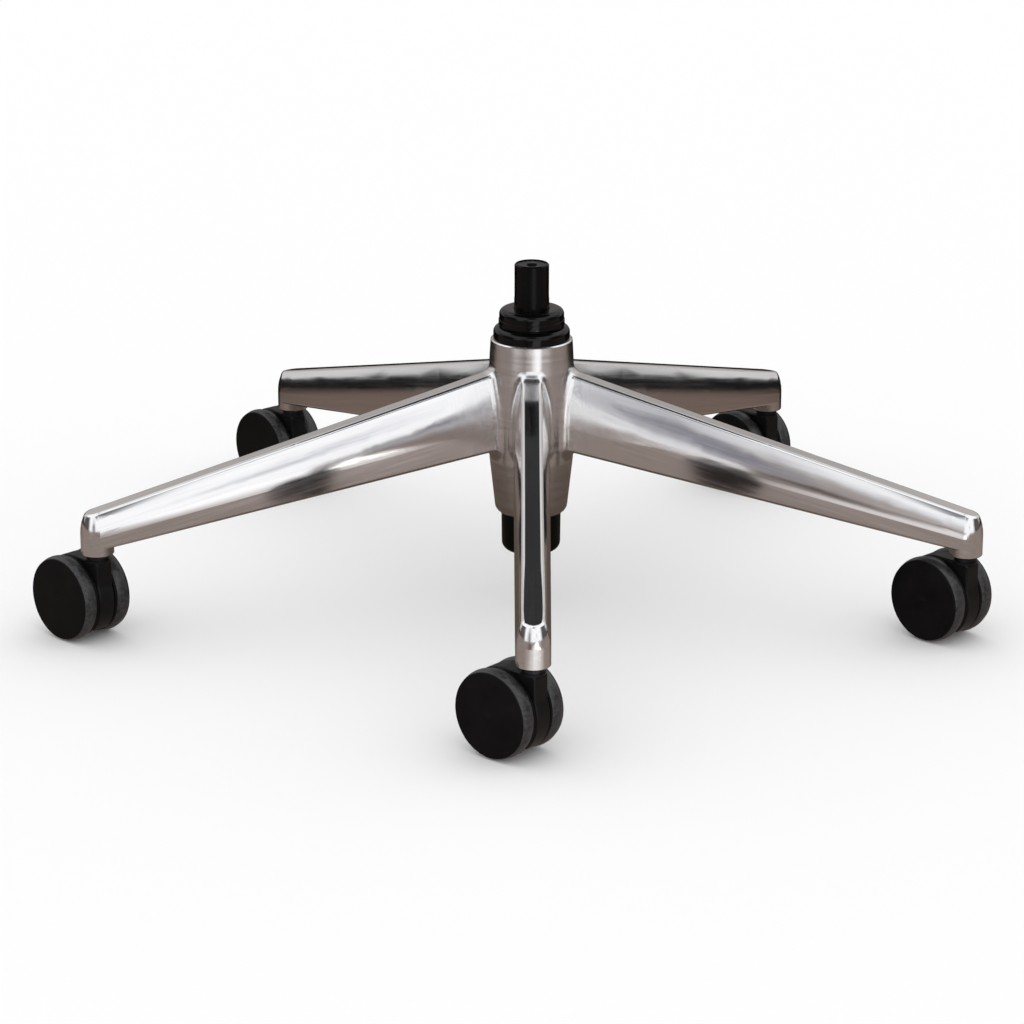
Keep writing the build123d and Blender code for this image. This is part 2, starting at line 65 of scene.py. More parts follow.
class Pattern(Enum):
    """How a surface's fine marks run."""

    GRAIN = "even moulding grain"
    POLISH = "marks of a polishing wheel, along each arm and round the hub"
    TURNED = "fine rings left by a lathe"


class Reach(Enum):
    """Which rays a studio piece is there for."""

    SEEN = "seen by the camera"
    REFLECTED = "only in reflections"


class VectorMix(IntEnum):
    """The sockets of a Mix node that mixes vectors. They share their names, so they go by number."""

    LOW = 4
    HIGH = 5
    RESULT = 1


class ColourMix(IntEnum):
    """The sockets of a Mix node that mixes colours."""

    LOW = 6
    HIGH = 7
    RESULT = 2


# Finishes


class NodeBench:
    """A material's node tree, with short ways to add and join nodes."""

    noise_roughness: float = 0.55
    value_low: float = 0.3
    value_high: float = 0.7

    def __init__(self, name: str) -> None:
        """Starts an empty material.

        Args:
            name: The material's name.
        """
        self.material = bpy.data.materials.new(name)
        self.material.use_nodes = True
        self.tree = self.material.node_tree
        self.tree.nodes.clear()
        self.shader = self.add("ShaderNodeBsdfPrincipled")
        self.output = self.add("ShaderNodeOutputMaterial")
        self.join(self.shader, "BSDF", self.output, "Surface")
        self.haze: bpy.types.NodeSocket | None = None

    def add(self, kind: str, **settings: object) -> bpy.types.Node:
        """Adds a node.

        Args:
            kind: The node's type name.
            settings: Properties to set on it.

        Returns:
            The new node.
        """
        node = self.tree.nodes.new(kind)
        for key, value in settings.items():
            setattr(node, key, value)
        return node

    def join(
        self,
        source: bpy.types.Node,
        out: str | int,
        target: bpy.types.Node,
        into: str | int,
    ) -> None:
        """Joins one node's output to another's input.

        Args:
            source: The node that gives the value.
            out: Its output, by name or number.
            target: The node that takes the value.
            into: Its input, by name or number.
        """
        self.tree.links.new(source.outputs[out], target.inputs[into])

    def feed(
        self,
        node: bpy.types.Node,
        terms: tuple[bpy.types.NodeSocket | float, ...],
    ) -> bpy.types.Node:
        """Gives a node its inputs in order.

        Args:
            node: The node.
            terms: Its inputs, each a fixed number or another node's output.

        Returns:
            The node.
        """
        for socket, term in zip(node.inputs, terms):
            if isinstance(term, bpy.types.NodeSocket):
                self.tree.links.new(term, socket)
            else:
                socket.default_value = term
        return node

    def reckon(
        self,
        operation: str,
        *terms: bpy.types.NodeSocket | float,
    ) -> bpy.types.NodeSocket:
        """Works out a number from other numbers.

        Args:
            operation: The arithmetic, as Blender names it.
            terms: Its terms, each a fixed number or another node's output.

        Returns:
            The output that holds the result.
        """
        node = self.add("ShaderNodeMath", operation=operation)
        return self.feed(node, terms).outputs["Value"]

    def arrow(self, *parts: bpy.types.NodeSocket | float) -> bpy.types.Node:
        """Makes a vector of three numbers.

        Args:
            parts: Its X, Y and Z, each a fixed number or another node's output.

        Returns:
            The node, with the vector in "Vector".
        """
        return self.feed(self.add("ShaderNodeCombineXYZ"), parts)

    def object_place(self, stretch: Spot) -> bpy.types.Node:
        """The surface point in the object's own coordinates, stretched along each axis.

        Args:
            stretch: The scale along X, Y and Z.

        Returns:
            The mapping node, with its result in "Vector".
        """
        place = self.add("ShaderNodeTexCoord")
        mapping = self.add("ShaderNodeMapping")
        mapping.inputs["Scale"].default_value = stretch
        self.join(place, "Object", mapping, "Vector")
        return mapping

    def noise(self, source: bpy.types.Node, scale: float, detail: float) -> bpy.types.Node:
        """A noise field.

        Args:
            source: The node whose "Vector" it reads.
            scale: Its waves per metre.
            detail: Its octaves.

        Returns:
            The noise node, with its value in "Fac".
        """
        noise = self.add("ShaderNodeTexNoise")
        noise.inputs["Scale"].default_value = scale
        noise.inputs["Detail"].default_value = detail
        noise.inputs["Roughness"].default_value = self.noise_roughness
        self.join(source, "Vector", noise, "Vector")
        return noise

    def colour_between(self, source: bpy.types.Node, low: Colour, high: Colour) -> None:
        """Lets a value choose the shader's colour.

        Args:
            source: The node whose "Fac" chooses.
            low: The colour where the value is low.
            high: The colour where the value is high.
        """
        ramp = self.add("ShaderNodeValToRGB")
        first, last = ramp.color_ramp.elements
        first.position, first.color = self.value_low, (*low, 1.0)
        last.position, last.color = self.value_high, (*high, 1.0)
        self.join(source, "Fac", ramp, "Fac")
        self.join(ramp, "Color", self.shader, "Base Color")

    def roughness_between(self, source: bpy.types.Node, low: float, high: float) -> None:
        """Lets a value choose the shader's roughness.

        Args:
            source: The node whose "Fac" chooses.
            low: The roughness where the value is low.
            high: The roughness where the value is high.
        """
        spread = self.add("ShaderNodeMapRange")
        spread.inputs["From Min"].default_value = self.value_low
        spread.inputs["From Max"].default_value = self.value_high
        spread.inputs["To Min"].default_value = low
        spread.inputs["To Max"].default_value = high
        self.join(source, "Fac", spread, "Value")
        rough = spread.outputs["Result"]
        if self.haze is not None:
            rough = self.reckon("ADD", rough, self.haze)
        self.tree.links.new(rough, self.shader.inputs["Roughness"])

    def soften(self, far: bpy.types.Node, amount: float) -> None:
        """Makes the surface rougher where a value is low.

        Args:
            far: The node whose "Result" is 0 where all of it is added, and 1 where none is.
            amount: How much roughness is added at most.
        """
        self.haze = self.reckon("MULTIPLY_ADD", far.outputs["Result"], -amount, amount)

    def blend(
        self,
        factor: bpy.types.Node,
        near: bpy.types.Node,
        away: bpy.types.Node,
    ) -> bpy.types.Node:
        """Goes from one vector to another.

        Args:
            factor: The node whose "Result" says how far over it is.
            near: The node with the vector at 0.
            away: The node with the vector at 1.

        Returns:
            A mapping node with the result in "Vector".
        """
        mix = self.add("ShaderNodeMix", data_type="VECTOR")
        self.join(factor, "Result", mix, "Factor")
        self.join(near, "Vector", mix, VectorMix.LOW)
        self.join(away, "Vector", mix, VectorMix.HIGH)
        carry = self.add("ShaderNodeMapping")
        self.join(mix, VectorMix.RESULT, carry, "Vector")
        return carry

    def relief(self, source: bpy.types.Node, strength: float, depth: float) -> None:
        """Raises and lowers the surface a little by a value.

        Args:
            source: The node whose "Fac" is the height.
            strength: How strongly the slopes show, up to 1.
            depth: The height of the relief in metres.
        """
        bump = self.add("ShaderNodeBump")
        bump.inputs["Strength"].default_value = strength
        bump.inputs["Distance"].default_value = depth
        self.join(source, "Fac", bump, "Height")
        self.join(bump, "Normal", self.shader, "Normal")


@dataclass(frozen=True)
class PolishMarks:
    """The lines that a polishing wheel leaves on the star: along each arm, and round the hub."""

    first_arm_deg: float = -90.0
    arm_step_deg: float = 72.0
    arm_fall: float = -0.23
    hub_r: float = 0.046
    root_r: float = 0.075
    along_stretch: float = 0.04
    arm_offset: float = 0.37
    hub_haze: float = 0.10

    def lay(self, bench: NodeBench) -> bpy.types.Node:
        """Turns the shader's highlights with the marks.

        Args:
            bench: The material to work on.

        Returns:
            A node whose "Vector" runs with the marks, for their noise.
        """
        place = bench.add("ShaderNodeTexCoord")
        split = bench.add("ShaderNodeSeparateXYZ")
        bench.join(place, "Object", split, "Vector")
        x, y, z = split.outputs
        first = math.radians(self.first_arm_deg)
        step = math.radians(self.arm_step_deg)
        angle = bench.reckon("ARCTAN2", y, x)
        turned = bench.reckon("SUBTRACT", angle, first)
        count = bench.reckon("ROUND", bench.reckon("DIVIDE", turned, step))
        arm = bench.reckon("MULTIPLY_ADD", count, step, first)
        cos, sin = bench.reckon("COSINE", arm), bench.reckon("SINE", arm)
        along = bench.reckon("MULTIPLY_ADD", x, cos, bench.reckon("MULTIPLY", y, sin))
        x_across = bench.reckon("MULTIPLY", x, sin)
        across = bench.reckon("SUBTRACT", bench.reckon("MULTIPLY", y, cos), x_across)
        square = bench.reckon("MULTIPLY_ADD", x, x, bench.reckon("MULTIPLY", y, y))
        out = bench.reckon("SQRT", square)
        far = bench.add("ShaderNodeMapRange", interpolation_type="SMOOTHSTEP")
        far.inputs["From Min"].default_value = self.hub_r
        far.inputs["From Max"].default_value = self.root_r
        bench.tree.links.new(out, far.inputs["Value"])
        down_arm = bench.arrow(cos, sin, self.arm_fall)
        round_x = bench.reckon("DIVIDE", y, -self.hub_r)
        round_hub = bench.arrow(round_x, bench.reckon("DIVIDE", x, self.hub_r), 0.0)
        tangent = bench.blend(far, round_hub, down_arm)
        bench.join(tangent, "Vector", bench.shader, "Tangent")
        level = bench.reckon("MULTIPLY_ADD", along, -self.arm_fall, z)
        arm_marks = bench.arrow(
            bench.reckon("MULTIPLY", along, self.along_stretch),
            across,
            bench.reckon("MULTIPLY_ADD", count, self.arm_offset, level),
        )
        round_way = bench.reckon("MULTIPLY", angle, self.hub_r * self.along_stretch)
        hub_marks = bench.arrow(round_way, out, z)
        bench.soften(far, self.hub_haze)
        return bench.blend(far, hub_marks, arm_marks)


@dataclass(frozen=True)
class Finish:
    """A finish of one of the chair base's pieces.

    Colours are linear. Scales are waves per metre, depths are metres and turns are parts of one.
    The wear scale serves the polish alone, and the mottle scale every other pattern.
    """

    name: str
    dark: Colour
    light: Colour
    smooth: float
    rough: float
    metallic: float = 0.0
    specular: float = 0.5
    brushed: float = 0.0
    pattern: Pattern = Pattern.GRAIN
    mottle_scale: float = 60.0
    wear_scale: float = 350.0
    mark_scale: float = 1800.0
    mark_strength: float = 0.15
    mark_depth: float = 0.00005
    detail: float = 4.0
    mark_detail: float = 3.0
    across_the_run: float = 0.25
    even: Spot = (1.0, 1.0, 1.0)
    ringed: Spot = (0.05, 0.05, 6.0)

    def material(self) -> bpy.types.Material:
        """Builds the finish's node tree.

        Returns:
            The material.
        """
        bench = NodeBench(self.name)
        bench.shader.inputs["Metallic"].default_value = self.metallic
        bench.shader.inputs["Specular IOR Level"].default_value = self.specular
        bench.shader.inputs["Anisotropic"].default_value = self.brushed
        if self.pattern is Pattern.POLISH:
            bench.shader.inputs["Anisotropic Rotation"].default_value = self.across_the_run
            run = PolishMarks().lay(bench)
            wear = bench.noise(run, self.wear_scale, self.detail)
        else:
            run = bench.object_place(self.ringed if self.pattern is Pattern.TURNED else self.even)
            wear = bench.noise(bench.object_place(self.even), self.mottle_scale, self.detail)
        marks = bench.noise(run, self.mark_scale, self.mark_detail)
        bench.colour_between(wear, self.dark, self.light)
        bench.roughness_between(wear, self.smooth, self.rough)
        bench.relief(marks, self.mark_strength, self.mark_depth)
        return bench.material


class Finishes:
    """Every finish of the base, made once and handed out by name."""

    def __init__(self) -> None:
        """Builds the materials."""
        kinds = (
            Finish(
                "polished_aluminium",
                (0.80, 0.795, 0.79),
                (0.88, 0.875, 0.87),
                0.08,
                0.15,
                metallic=1.0,
                brushed=0.5,
                pattern=Pattern.POLISH,
                mark_scale=900.0,
                mark_strength=0.05,
                mark_depth=0.00003,
            ),
            Finish("black_enamel", grey(0.002), grey(0.003), 0.18, 0.26, specular=0.14),
            Finish(
                "satin_plastic",
                grey(0.001),
                grey(0.002),
                0.04,
                0.07,
                specular=0.28,
                mark_strength=0.05,
            ),
            Finish("bush_plastic", (0.60, 0.59, 0.56), (0.70, 0.69, 0.66), 0.45, 0.55),
            Finish(
                "bright_steel",
                (0.42, 0.45, 0.50),
                (0.50, 0.53, 0.58),
                0.22,
                0.32,
                metallic=1.0,
                pattern=Pattern.TURNED,
                mark_scale=900.0,
            ),
            Finish(
                "blued_steel",
                (0.030, 0.032, 0.038),
                (0.050, 0.053, 0.062),
                0.28,
                0.38,
                metallic=1.0,
                pattern=Pattern.TURNED,
                mark_scale=900.0,
            ),
            Finish(
                "piston_alloy",
                grey(0.60),
                grey(0.70),
                0.30,
                0.42,
                metallic=1.0,
                pattern=Pattern.TURNED,
                mark_scale=900.0,
            ),
            Finish("stop_rubber", grey(0.012), grey(0.020), 0.65, 0.80, specular=0.3),
            Finish("caster_plastic", grey(0.004), grey(0.007), 0.30, 0.42, specular=0.22),
            Finish("wheel_plastic", grey(0.003), (0.006, 0.005, 0.005), 0.42, 0.52, specular=0.10),
            Finish(
                "tread_rubber",
                grey(0.008),
                (0.045, 0.045, 0.048),
                0.30,
                0.44,
                specular=0.55,
                mottle_scale=450.0,
                mark_strength=0.4,
            ),
        )
        self.by_name = {kind.name: kind.material() for kind in kinds}

    def dress(self, piece: bpy.types.Object, name: str) -> None:
        """Gives a piece one finish all over.

        Args:
            piece: The piece.
            name: The finish's name, which is also the record's slot.
        """
        piece.data.materials.clear()
        piece.data.materials.append(self.by_name[name])


# Sub-assemblies


@dataclass(frozen=True)
class Corner:
    """One corner of a turned piece's outline, in millimetres, and how far it is rounded."""

    radius: float
    height: float
    rounding: float = 0.0


@dataclass
class TurnedPiece:
    """A piece turned about an axle from its outline: a trim ring, a cap or a tread band."""

    node: str
    body: str
    slot: str
    corners: tuple[Corner, ...]
    finishes: Finishes
    steps: int = 144
    round_steps: int = 8
    crease_deg: float = 30.0
    tolerance: float = 0.000001

    def corner_ring(self, mesh: bmesh.types.BMesh, corner: Corner) -> list[bmesh.types.BMEdge]:
        """The ring of edges that a corner of the outline has drawn.

        Args:
            mesh: The turned mesh.
            corner: The corner.

        Returns:
            Its edges.
        """
        radius, height = corner.radius * MM, corner.height * MM
        on_it = {
            vert
            for vert in mesh.verts
            if abs(vert.co.xy.length - radius) < self.tolerance
            and abs(vert.co.z - height) < self.tolerance
        }
        return [edge for edge in mesh.edges if on_it.issuperset(edge.verts)]

    def turned(self) -> bmesh.types.BMesh:
        """Turns the outline about the upright axis and rounds its corners.

        Returns:
            The closed mesh, with sharp edges where it is creased.
        """
        mesh = bmesh.new()
        verts = [mesh.verts.new((c.radius * MM, 0.0, c.height * MM)) for c in self.corners]
        edges = [mesh.edges.new(pair) for pair in zip(verts, verts[1:] + verts[:1])]
        bmesh.ops.spin(
            mesh,
            geom=verts + edges,
            cent=(0.0, 0.0, 0.0),
            axis=(0.0, 0.0, 1.0),
            angle=math.tau,
            steps=self.steps,
            use_merge=True,
        )
        bmesh.ops.remove_doubles(mesh, verts=mesh.verts[:], dist=self.tolerance)
        bmesh.ops.recalc_face_normals(mesh, faces=mesh.faces[:])
        for corner in self.corners:
            if corner.rounding:
                bmesh.ops.bevel(
                    mesh,
                    geom=self.corner_ring(mesh, corner),
                    offset=corner.rounding * MM,
                    offset_type="OFFSET",
                    segments=self.round_steps,
                    profile=0.5,
                    affect="EDGES",
                    material=-1,
                )
        for face in mesh.faces:
            face.smooth = True
        for edge in mesh.edges:
            edge.smooth = edge.calc_face_angle(0.0) < math.radians(self.crease_deg)
        return mesh

    def build(self, place: Matrix) -> str:
        """Makes the piece, and lets it stand for its plain solid.

        Args:
            place: Where the outline's own axis and origin lie on the chair base.

        Returns:
            The name of the piece.
        """
        mesh = self.turned()
        bmesh.ops.transform(mesh, matrix=place, verts=mesh.verts[:])
        name = f"{self.node}_smooth"
        data = bpy.data.meshes.new(name)
        mesh.to_mesh(data)
        mesh.free()
        piece = bpy.data.objects.new(name, data)
        bpy.context.scene.collection.objects.link(piece)
        self.finishes.dress(piece, self.slot)
        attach(piece, self.body)
        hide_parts(self.node)
        return name


CASTER_FINISHES = {
    "stem": "blued_steel",
    "grip_ring": "bright_steel",
    "caster_body": "caster_plastic",
    "axle": "bright_steel",
    "left_wheel": "wheel_plastic",
    "right_wheel": "wheel_plastic",
}


@dataclass
class StarBase:
    """The one-piece star casting."""

    finishes: Finishes
    node: str = "star_base"

    def dress(self) -> list[str]:
        """Finishes the casting.

        Returns:
            The names of the pieces it finished.
        """
        self.finishes.dress(frame["nodes"][self.node], "polished_aluminium")
        return [self.node]


@dataclass
class GasLift:
    """The gas lift: standing tube, trims, column and what is inside.

    The trims' sizes are millimetres, and their heights are over the floor.
    """

    finishes: Finishes
    tube_r: float = 25.05
    ring_r: float = 30.6
    ring_low: float = 213.1
    ring_high: float = 227.0
    bore_r: float = 14.3
    collar_r: float = 25.9
    collar_low: float = 229.0
    collar_high: float = 241.5
    skirt_r: float = 26.4
    skirt_low: float = 228.0
    skirt_high: float = 233.0
    trim_round: float = 4.6
    skirt_round: float = 0.8
    edge_round: float = 0.3
    parts: dict[str, str] = field(
        default_factory=lambda: {
            "standing_tube": "black_enamel",
            "guide_bush": "bush_plastic",
            "lower_washer": "bright_steel",
            "ball_cage": "bush_plastic",
            "bearing_balls": "bright_steel",
            "upper_washer": "bright_steel",
            "bumper": "stop_rubber",
            "piston_rod": "bright_steel",
            "retaining_clip": "bright_steel",
            "piston": "piston_alloy",
            "piston_seal": "stop_rubber",
            "pressure_tube": "black_enamel",
            "rod_guide": "bush_plastic",
            "valve_block": "blued_steel",
            "release_button": "blued_steel",
        }
    )

    def dress(self) -> list[str]:
        """Finishes every part of the lift.

        Returns:
            The names of the pieces it finished.
        """
        for node, finish in self.parts.items():
            self.finishes.dress(frame["nodes"][node], finish)
        return list(self.parts)

    def ring_outline(self) -> tuple[Corner, ...]:
        """The outline of the ring on the hub's rim."""
        return (
            Corner(self.tube_r, self.ring_low),
            Corner(self.ring_r, self.ring_low),
            Corner(self.ring_r, self.ring_high, self.trim_round),
            Corner(self.tube_r, self.ring_high),
        )

    def collar_outline(self) -> tuple[Corner, ...]:
        """The outline of the collar, which sits on the tube's end with its skirt round it."""
        return (
            Corner(self.bore_r, self.collar_low),
            Corner(self.tube_r, self.collar_low),
            Corner(self.tube_r, self.skirt_low),
            Corner(self.skirt_r, self.skirt_low, self.skirt_round),
            Corner(self.skirt_r, self.skirt_high, self.edge_round),
            Corner(self.collar_r, self.skirt_high),
            Corner(self.collar_r, self.collar_high, self.trim_round),
            Corner(self.bore_r, self.collar_high, self.edge_round),
        )

    def trims(self) -> list[str]:
        """Turns the ring on the hub's rim and the collar above it.

        Returns:
            The names of the pieces it made.
        """
        upright = Matrix.Identity(4)
        outlines = {"hub_ring": self.ring_outline(), "collar": self.collar_outline()}
        return [
            TurnedPiece(node, "base", "satin_plastic", corners, self.finishes).build(upright)
            for node, corners in outlines.items()
        ]


@dataclass
class Caster:
    """One twin-wheel caster.

    The treads' sizes are millimetres, with their widths from the caster's middle.
    """

    place: str
    finishes: Finishes
    wheel_r: float = 34.0
    seat_r: float = 30.6
    crown_arc_r: float = 11.77
    tread_in: float = 10.35
    tread_out: float = 21.85
    tread_round: float = 0.5
    crown_steps: tuple[float, ...] = (-4.0, -2.0, 0.0, 2.0, 4.0)

    def dress(self) -> list[str]:
        """Finishes the caster's pieces.

        Returns:
            The names of the pieces it finished.
        """
        done = []
        for part, finish in CASTER_FINISHES.items():
            node = f"{part}_{self.place}"
            self.finishes.dress(frame["nodes"][node], finish)
            done.append(node)
        return done

    def tread_outline(self) -> tuple[Corner, ...]:
        """The outline of a tread: a seat on the wheel's rim, and a crown that is an arc.

        Returns:
            Its corners, with each width as a height along the axle.
        """
        middle = (self.tread_in + self.tread_out) / 2
        arc_centre = self.wheel_r - self.crown_arc_r

        def crown(width: float) -> float:
            """The crown's radius at a width."""
            return arc_centre + math.sqrt(self.crown_arc_r**2 - (width - middle) ** 2)

        return (
            Corner(self.seat_r, self.tread_in),
            Corner(crown(self.tread_in), self.tread_in, self.tread_round),
            *(Corner(crown(middle + step), middle + step) for step in self.crown_steps),
            Corner(crown(self.tread_out), self.tread_out, self.tread_round),
            Corner(self.seat_r, self.tread_out),
        )

    def tread(self, side: str) -> str:
        """Turns the soft band round one wheel.

        Args:
            side: Which wheel, "left" or "right".

        Returns:
            The name of the piece.
        """
        node = f"{side}_tread_{self.place}"
        spin = f"{side}_spin_{self.place}"
        joints = frame["record"]["behaviour"]["joints"]
        joint = next(joint for joint in joints if joint["name"] == spin)
        centre, outward = Vector(joint["pos_m"]), Vector(joint["axis"])
        low, high = (Vector(corner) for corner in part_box(node))
        if ((low + high) / 2 - centre).dot(outward) < 0.0:
            outward.negate()
        up = Vector((0.0, 0.0, 1.0))
        axes = Matrix((up, outward.cross(up), outward)).transposed()
        wheel = f"{side}_wheel_{self.place}"
        band = TurnedPiece(node, wheel, "tread_rubber", self.tread_outline(), self.finishes)
        return band.build(Matrix.Translation(centre) @ axes.to_4x4())


# Studio


@dataclass(frozen=True)
class Shot:
    """The photograph's camera: where it stands, where it looks and how long its lens is."""

    place_mm: Spot = (4.24, -2794.5, 991.6)
    yaw_deg: float = -0.403
    pitch_deg: float = 18.245
    roll_deg: float = -0.084
    star_turn_deg: float = 0.385
    focal_px: float = 3631.6
    picture_px: float = 1024.0
    sensor_mm: float = 36.0
    far_clip: float = 50.0

    def set_up(self) -> bpy.types.Object:
        """Makes the camera and makes it the scene's own.

        Returns:
            The camera.
        """
        yaw, pitch, roll = (math.radians(a) for a in (self.yaw_deg, self.pitch_deg, self.roll_deg))
        level = Vector((math.sin(yaw), math.cos(yaw), 0.0))
        ahead = level * math.cos(pitch) - Vector((0.0, 0.0, math.sin(pitch)))
        right = ahead.cross(Vector((0.0, 0.0, 1.0))).normalized()
        above = right.cross(ahead)
        side = right * math.cos(roll) - above * math.sin(roll)
        top = right * math.sin(roll) + above * math.cos(roll)
        turn = Matrix.Rotation(math.radians(-self.star_turn_deg), 3, "Z")
        axes = Matrix((turn @ side, turn @ top, turn @ -ahead)).transposed()
        lens = bpy.data.cameras.new("camera")
        lens.sensor_width = self.sensor_mm
        lens.lens = self.focal_px / self.picture_px * self.sensor_mm
        lens.clip_end = self.far_clip
        camera = bpy.data.objects.new("camera", lens)
        camera.matrix_world = Matrix.Translation(turn @ Vector(self.place_mm) * MM) @ axes.to_4x4()
        bpy.context.scene.collection.objects.link(camera)
        bpy.context.scene.camera = camera
        return camera


@dataclass(frozen=True)
class Glow:
    """A soft-edged patch of light or shade on one of the mirrored cards.

    Places and reaches are metres, and the turn is about the upright axis.
    """

    centre: Spot
    reach: Spot
    colour: Colour
    softness: float
    turn_deg: float = 0.0


FLOOR_GLOWS = (
    # Painted shadow: the chair's shade on the floor round the base, darker brown in the middle of
    # the mirrored floor card
    Glow((0.0, 0.08, 0.0), (0.36, 0.30, 1.0), (0.095, 0.073, 0.058), 0.45),
    Glow((-0.28, -1.05, 0.0), (0.55, 0.09, 1.0), (0.13, 0.11, 0.10), 0.7, -115.0),
    # Painted light: pools of window light and sunlight on the floor in front of the base, the
    # brightest being a small sunlit patch to the right of the front arm
    Glow((0.08, -0.55, 0.0), (0.19, 0.11, 1.0), (0.70, 0.64, 0.62), 0.7),
    Glow((0.42, -1.38, 0.0), (0.85, 0.24, 1.0), (1.25, 1.25, 1.28), 0.3, -64.7),
    Glow((0.225, -0.645, 0.0), (0.07, 0.045, 1.0), (3.2, 3.2, 3.1), 0.6, 19.0),
    Glow((0.65, 0.42, 0.0), (0.36, 0.36, 1.0), (0.173, 0.128, 0.106), 0.5),
    Glow((-0.65, 0.42, 0.0), (0.36, 0.36, 1.0), (0.173, 0.128, 0.106), 0.5),
    Glow((0.0, 2.12, 0.0), (4.50, 1.70, 1.0), (0.010, 0.010, 0.010), 0.05),
)

SKY_GLOWS = (
    Glow((0.0, 2.50, 0.30), (2.70, 2.00, 1.50), (0.37, 0.345, 0.335), 0.6),
    Glow((2.30, -0.50, 0.30), (0.90, 1.15, 1.00), (0.10, 0.09, 0.09), 0.35),
    Glow((-2.30, -0.50, 0.30), (0.90, 1.15, 1.00), (0.10, 0.09, 0.09), 0.35),
    Glow((1.25, 1.60, 1.12), (0.42, 0.42, 0.42), (0.62, 0.58, 0.56), 0.6),
    Glow((-1.25, 1.60, 1.12), (0.42, 0.42, 0.42), (0.62, 0.58, 0.56), 0.6),
    Glow((2.14, 0.70, 0.82), (0.50, 0.55, 0.50), (0.48, 0.43, 0.41), 0.5),
    Glow((-2.14, 0.70, 0.82), (0.50, 0.55, 0.50), (0.48, 0.45, 0.44), 0.5),
    Glow((0.0, 2.30, 0.0), (4.50, 3.00, 0.25), (0.010, 0.010, 0.010), 0.15),
    Glow((0.0, 0.75, 2.28), (0.80, 0.95, 0.55), (0.24, 0.24, 0.27), 0.4),
    Glow((0.0, 1.64, 1.755), (0.62, 0.55, 0.55), (0.040, 0.040, 0.042), 0.35),
    Glow((-0.90, -2.20, 0.10), (0.50, 0.50, 0.95), (0.58, 0.58, 0.62), 0.6),
    Glow((-0.74, -2.25, 0.20), (0.15, 0.15, 0.45), (0.42, 0.375, 0.35), 0.6),
    Glow((-0.89, -2.15, 0.30), (0.12, 0.12, 0.42), (0.20, 0.20, 0.24), 0.6),
    Glow((0.81, -2.14, 0.48), (0.13, 0.13, 0.14), (0.60, 0.61, 0.68), 0.9),
    Glow((0.0, -1.73, 1.67), (0.62, 0.60, 0.60), (0.14, 0.14, 0.16), 0.4),
)


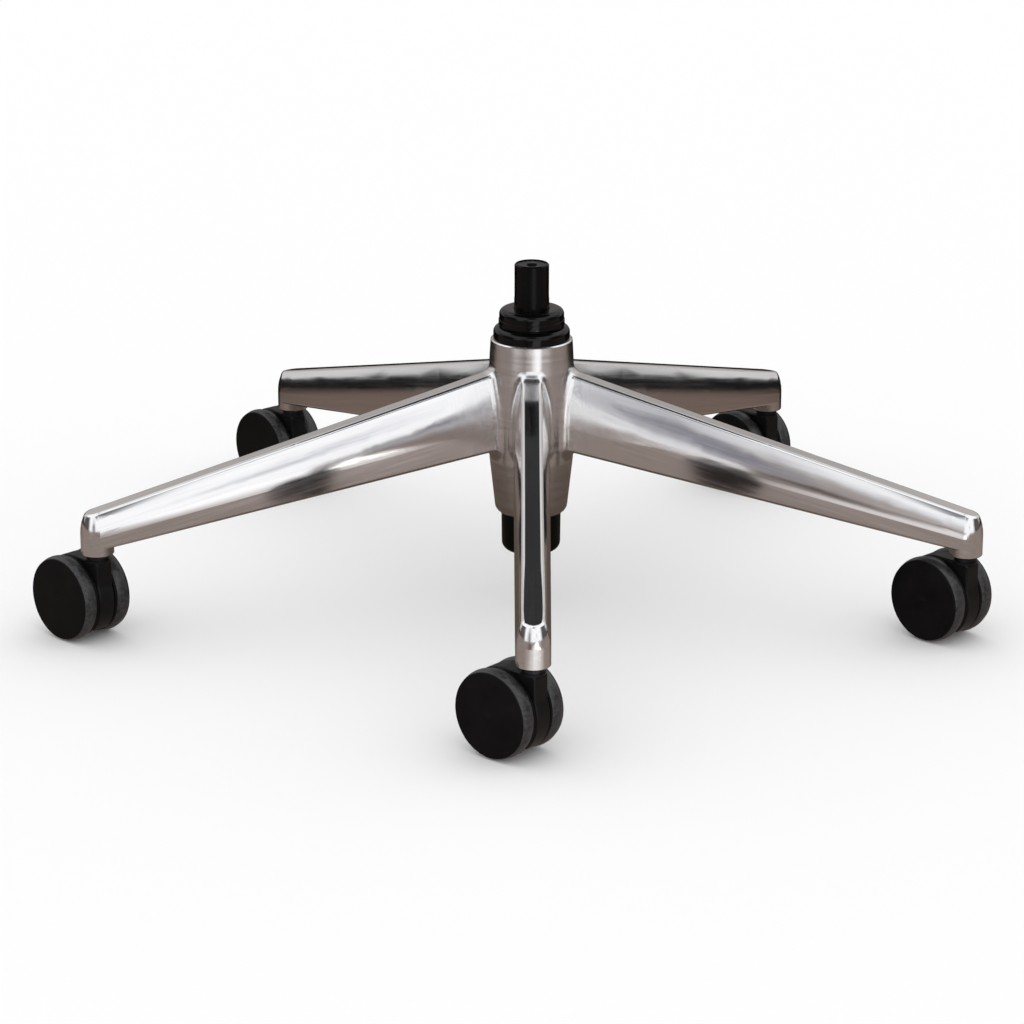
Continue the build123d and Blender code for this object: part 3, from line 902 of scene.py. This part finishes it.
@dataclass
class Studio:
    """The pale floor, the soft light and the cards that the polished metal mirrors."""

    floor_half: float = 30.0
    floor_white: float = 0.94
    light: float = 1.06
    card_r: float = 2.4
    card_z: float = 0.0006
    floor_tone: Colour = (0.28, 0.228, 0.208)
    sky_tone: Colour = (1.12, 1.13, 1.16)
    seat_r: float = 0.25
    seat_z: float = 0.58
    seat_tone: Colour = (0.035, 0.035, 0.037)
    facets: int = 96

    def paint(self) -> bpy.types.Material:
        """The matt white of the floor.

        Returns:
            The material.
        """
        bench = NodeBench("floor_paint")
        bench.shader.inputs["Roughness"].default_value = 1.0
        bench.shader.inputs["Specular IOR Level"].default_value = 0.0
        bench.shader.inputs["Base Color"].default_value = (*grey(self.floor_white), 1.0)
        return bench.material

    def card(self, name: str, tone: Colour, glows: tuple[Glow, ...]) -> bpy.types.Material:
        """A card that shines by itself, with soft patches on it.

        Args:
            name: The material's name.
            tone: The colour between the patches.
            glows: The patches, where a later one covers an earlier one.

        Returns:
            The material.
        """
        bench = NodeBench(name)
        bench.shader.inputs["Base Color"].default_value = (*grey(0.0), 1.0)
        bench.shader.inputs["Specular IOR Level"].default_value = 0.0
        bench.shader.inputs["Emission Strength"].default_value = 1.0
        place = bench.add("ShaderNodeTexCoord")
        base = bench.add("ShaderNodeRGB")
        base.outputs["Color"].default_value = (*tone, 1.0)
        below: bpy.types.Node = base
        result: str | int = "Color"
        for glow in glows:
            local = bench.add("ShaderNodeMapping", vector_type="TEXTURE")
            local.inputs["Location"].default_value = glow.centre
            local.inputs["Rotation"].default_value = (0.0, 0.0, math.radians(glow.turn_deg))
            local.inputs["Scale"].default_value = glow.reach
            bench.join(place, "Object", local, "Vector")
            away = bench.add("ShaderNodeVectorMath", operation="LENGTH")
            bench.join(local, "Vector", away, 0)
            edge = bench.add("ShaderNodeMapRange", interpolation_type="SMOOTHSTEP")
            edge.inputs["From Min"].default_value = 1.0 + glow.softness
            edge.inputs["From Max"].default_value = 1.0 - glow.softness
            bench.join(away, "Value", edge, "Value")
            mix = bench.add("ShaderNodeMix", data_type="RGBA")
            bench.join(edge, "Result", mix, "Factor")
            bench.join(below, result, mix, ColourMix.LOW)
            mix.inputs[ColourMix.HIGH].default_value = (*glow.colour, 1.0)
            below, result = mix, ColourMix.RESULT
        bench.join(below, result, bench.shader, "Emission Color")
        # Only mirrored rays meet a card, so it isn't sampled as a lamp
        bench.material.cycles.emission_sampling = "NONE"
        return bench.material

    def place(
        self,
        name: str,
        mesh: bmesh.types.BMesh,
        material: bpy.types.Material,
        reach: Reach,
    ) -> None:
        """Puts a studio piece in the scene.

        Args:
            name: Its name.
            mesh: Its mesh, which is used up.
            material: What it is made of.
            reach: Which rays see it.
        """
        data = bpy.data.meshes.new(name)
        mesh.to_mesh(data)
        mesh.free()
        data.materials.append(material)
        piece = bpy.data.objects.new(name, data)
        bpy.context.scene.collection.objects.link(piece)
        if reach is Reach.REFLECTED:
            piece.visible_camera = False
            piece.visible_diffuse = False
            piece.visible_shadow = False
            piece.visible_transmission = False

    def disc(self, radius: float, height: float) -> bmesh.types.BMesh:
        """A flat disc about the upright axis.

        Args:
            radius: Its radius.
            height: Its height above the floor.

        Returns:
            Its mesh.
        """
        mesh = bmesh.new()
        bmesh.ops.create_circle(mesh, cap_ends=True, segments=self.facets, radius=radius)
        bmesh.ops.translate(mesh, vec=(0.0, 0.0, height), verts=mesh.verts[:])
        return mesh

    def sky_card(self) -> bmesh.types.BMesh:
        """A half ball over the base.

        Returns:
            Its mesh.
        """
        mesh = bmesh.new()
        bmesh.ops.create_uvsphere(
            mesh,
            u_segments=self.facets,
            v_segments=self.facets // 2,
            radius=self.card_r,
        )
        bmesh.ops.bisect_plane(
            mesh,
            geom=mesh.verts[:] + mesh.edges[:] + mesh.faces[:],
            plane_co=(0.0, 0.0, self.card_z),
            plane_no=(0.0, 0.0, 1.0),
            clear_inner=True,
        )
        return mesh

    def floor(self) -> bmesh.types.BMesh:
        """The wide floor that the base stands on.

        Returns:
            Its mesh.
        """
        mesh = bmesh.new()
        bmesh.ops.create_grid(mesh, x_segments=1, y_segments=1, size=self.floor_half)
        return mesh

    def build(self) -> None:
        """Sets up the floor, the light and the mirrored cards."""
        scene = bpy.context.scene
        scene.view_settings.view_transform = "Standard"
        world = bpy.data.worlds.new("studio")
        scene.world = world
        world.use_nodes = True
        sky = world.node_tree.nodes["Background"]
        sky.inputs["Color"].default_value = (*grey(1.0), 1.0)
        sky.inputs["Strength"].default_value = self.light
        self.place("floor", self.floor(), self.paint(), Reach.SEEN)
        low = self.card("mirrored_floor_card", self.floor_tone, FLOOR_GLOWS)
        high = self.card("mirrored_sky_card", self.sky_tone, SKY_GLOWS)
        seat = self.card("mirrored_seat_card", self.seat_tone, ())
        self.place("mirrored_floor", self.disc(self.card_r, self.card_z), low, Reach.REFLECTED)
        self.place("mirrored_seat", self.disc(self.seat_r, self.seat_z), seat, Reach.REFLECTED)
        self.place("mirrored_sky", self.sky_card(), high, Reach.REFLECTED)


def report(names: list[str]) -> None:
    """Logs each finished piece.

    Args:
        names: The pieces' names.
    """
    for name in names:
        log.info("finished %s", name)


def main() -> None:
    """Dresses the chair base and sets up the studio."""
    logging.basicConfig(level=logging.INFO, format="%(message)s")
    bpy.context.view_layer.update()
    finishes = Finishes()
    report(StarBase(finishes).dress())
    lift = GasLift(finishes)
    report(lift.dress() + lift.trims())
    for place in PLACES:
        caster = Caster(place, finishes)
        report(caster.dress() + [caster.tread("left"), caster.tread("right")])
    Shot().set_up()
    Studio().build()


if __name__ == "__main__":
    main()
